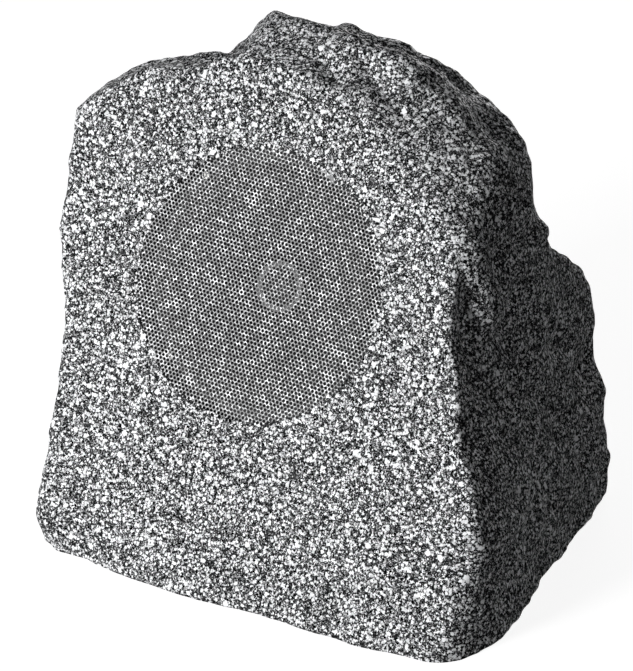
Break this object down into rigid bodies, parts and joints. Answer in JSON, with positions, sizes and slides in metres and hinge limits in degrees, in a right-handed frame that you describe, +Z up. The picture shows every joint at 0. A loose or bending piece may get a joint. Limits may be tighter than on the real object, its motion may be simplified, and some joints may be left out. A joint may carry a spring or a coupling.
{
  "type": "rock shaped garden speaker",
  "caption": "Weatherproof loudspeaker moulded as a hewn granite rock, with a round perforated grille in its sloping front, a coaxial driver inside and a cable gland under the base.",
  "frame": {"origin": "on the ground, under the middle of the rock's bounding box", "axes": "+Z up, the grille looks towards -Y, +X is the right-hand side seen from the grille's front"},
  "size_m": [0.3224, 0.265, 0.3013],
  "materials": {
    "granite": "rough speckled stone-effect resin",
    "grille_paint": "speckled powder coat",
    "black_steel": "satin black paint",
    "zinc_steel": "zinc plated",
    "plain_steel": "passivated steel",
    "black_rubber": "matt black rubber",
    "cone_film": "matt moulded film",
    "coil_wire": "enamelled copper",
    "former_foil": "bright foil",
    "spider_cloth": "resin-dipped cloth",
    "ferrite": "dull sintered ferrite",
    "silver_plastic": "satin silver",
    "black_plastic": "moulded black",
    "dome_silk": "coated silk",
    "magnet_nickel": "nickel plate",
    "tinned_brass": "tinned",
    "strip_board": "brown laminate",
    "circuit_board": "green lacquer",
    "capacitor_sleeve": "shrink sleeve",
    "resistor_ceramic": "white ceramic",
    "block_plastic": "moulded green"
  },
  "bodies": {
    "rock": {"rock_shell": "granite", "grille": "grille_paint", "driver_gasket": "black_rubber", "basket": "black_steel", "driver_screws": "zinc_steel", "surround": "black_rubber", "spider": "spider_cloth", "top_plate": "plain_steel", "magnet": "ferrite", "pole_yoke": "plain_steel", "tweeter_post": "plain_steel", "tweeter_cup": "black_plastic", "tweeter_magnet": "magnet_nickel", "tweeter_dome": "dome_silk", "tweeter_ring": "silver_plastic", "terminal_strip": "strip_board", "terminal_tabs": "tinned_brass", "base_plate": "black_plastic", "base_gasket": "black_rubber", "base_screws": "zinc_steel", "gland_body": "black_plastic", "gland_seal": "black_rubber", "gland_nut": "black_plastic", "gland_locknut": "black_plastic", "crossover_board": "circuit_board", "board_screws": "zinc_steel", "inductor": "coil_wire", "capacitors": "capacitor_sleeve", "resistor": "resistor_ceramic", "terminal_block": "block_plastic"},
    "cone_assembly": {"cone": "cone_film", "coil_former": "former_foil", "voice_coil": "coil_wire"}
  },
  "joints": [
    {"name": "cone_travel", "type": "slide", "parent": "rock", "child": "cone_assembly", "axis": [0, -0.9135, 0.4067], "range_m": [-0.004, 0.004], "stiffness_N_per_m": 1000, "deforming": ["surround", "spider"]}
  ]
}
